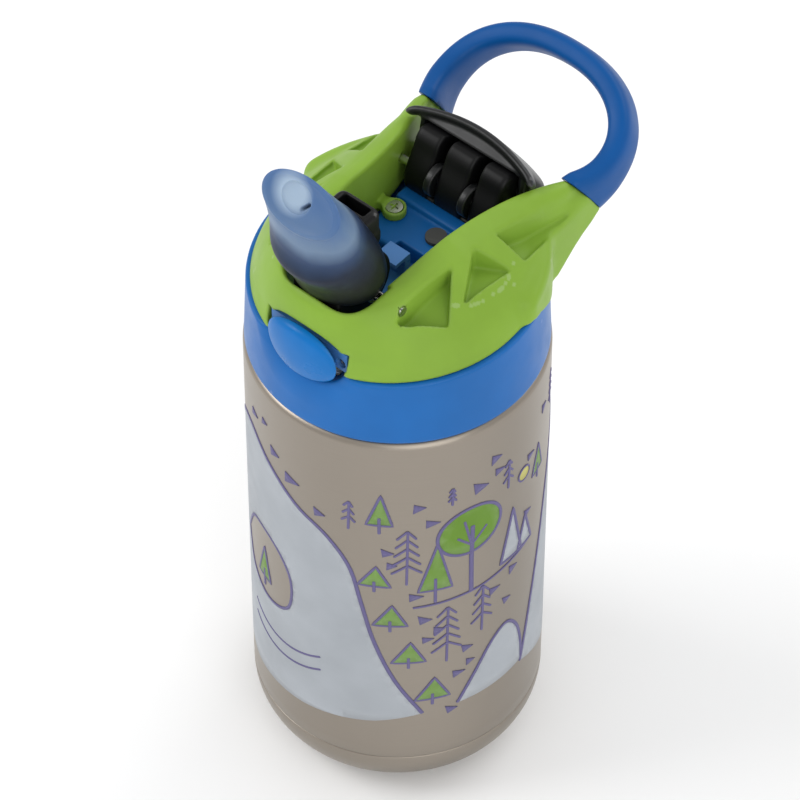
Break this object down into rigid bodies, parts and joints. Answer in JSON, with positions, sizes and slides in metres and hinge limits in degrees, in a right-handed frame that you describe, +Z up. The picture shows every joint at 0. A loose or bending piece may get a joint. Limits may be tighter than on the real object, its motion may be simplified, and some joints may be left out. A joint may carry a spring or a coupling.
{
  "type": "kids water bottle",
  "caption": "Vacuum-walled steel drinking bottle with a screw lid, flip-up spout, flip cover, release button and rear carry loop.",
  "frame": {"origin": "centre of the flat base, on the surface that the bottle stands on", "axes": "+Z up along the bottle's axis, -Y towards the button, +Y towards the carry loop, +X to the right seen from the button side's back"},
  "size_m": [0.073, 0.1036, 0.211],
  "materials": {
    "brushed_steel": "satin brushed with a printed pattern",
    "inner_steel": "electropolished",
    "base_steel": "satin",
    "seal_glass": "gloss",
    "clear_silicone": "soft matte",
    "blue_collar": "semi gloss",
    "green_shell": "fine satin texture",
    "blue_loop": "soft satin",
    "fastener_steel": "bright",
    "spring_steel": "drawn wire",
    "black_rubber": "matte",
    "clear_plastic": "translucent",
    "black_plastic": "satin",
    "black_cover": "fine spark texture",
    "blue_silicone": "translucent satin",
    "blue_button": "semi gloss"
  },
  "bodies": {
    "bottle": {"outer_shell": "brushed_steel", "inner_liner": "inner_steel", "base_cap": "brushed_steel", "base_disc": "base_steel", "vacuum_seal": "seal_glass"},
    "lid_seal": {"lid_gasket": "clear_silicone"},
    "lid": {"collar": "blue_collar", "lid_shell": "green_shell", "carry_loop": "blue_loop", "shell_screws": "fastener_steel", "port_seal": "clear_silicone", "vent_valve": "black_rubber", "straw_adapter": "clear_plastic", "straw": "clear_plastic", "spout_pins": "fastener_steel", "spout_spring": "spring_steel", "button_springs": "spring_steel", "hinge_block": "black_plastic", "cover_pin": "fastener_steel", "cover_spring": "spring_steel"},
    "spout": {"spout_carrier": "black_plastic", "spout_nozzle": "blue_silicone"},
    "button": {"front_button": "blue_button", "button_latch": "blue_button"},
    "cover": {"cover_hood": "black_cover"}
  },
  "joints": [
    {"name": "lid_rise", "type": "slide", "parent": "bottle", "child": "lid_seal", "axis": [0, 0, 1], "range_m": [0, 0.005]},
    {"name": "lid_turn", "type": "hinge", "parent": "lid_seal", "child": "lid", "pos_m": [0, 0, 0.15], "axis": [0, 0, 1], "range_deg": [0, 450]},
    {"name": "spout_flip", "type": "hinge", "parent": "lid", "child": "spout", "pos_m": [0, -0.0195, 0.1715], "axis": [1, 0, 0], "range_deg": [-103, 0], "stiffness_Nm_per_rad": 0.02, "springref_deg": 34.38},
    {"name": "cover_flip", "type": "hinge", "parent": "lid", "child": "cover", "pos_m": [0, 0.02, 0.1673], "axis": [1, 0, 0], "range_deg": [0, 48], "stiffness_Nm_per_rad": 0.01, "springref_deg": -34.38},
    {"name": "button_press", "type": "slide", "parent": "lid", "child": "button", "axis": [0, 1, 0], "range_m": [0, 0.0025], "stiffness_N_per_m": 300, "springref_m": -0.002}
  ],
  "couplings": [
    {"joint": "lid_rise", "follows": "lid_turn", "m_per_rad": 0.00063662}
  ]
}
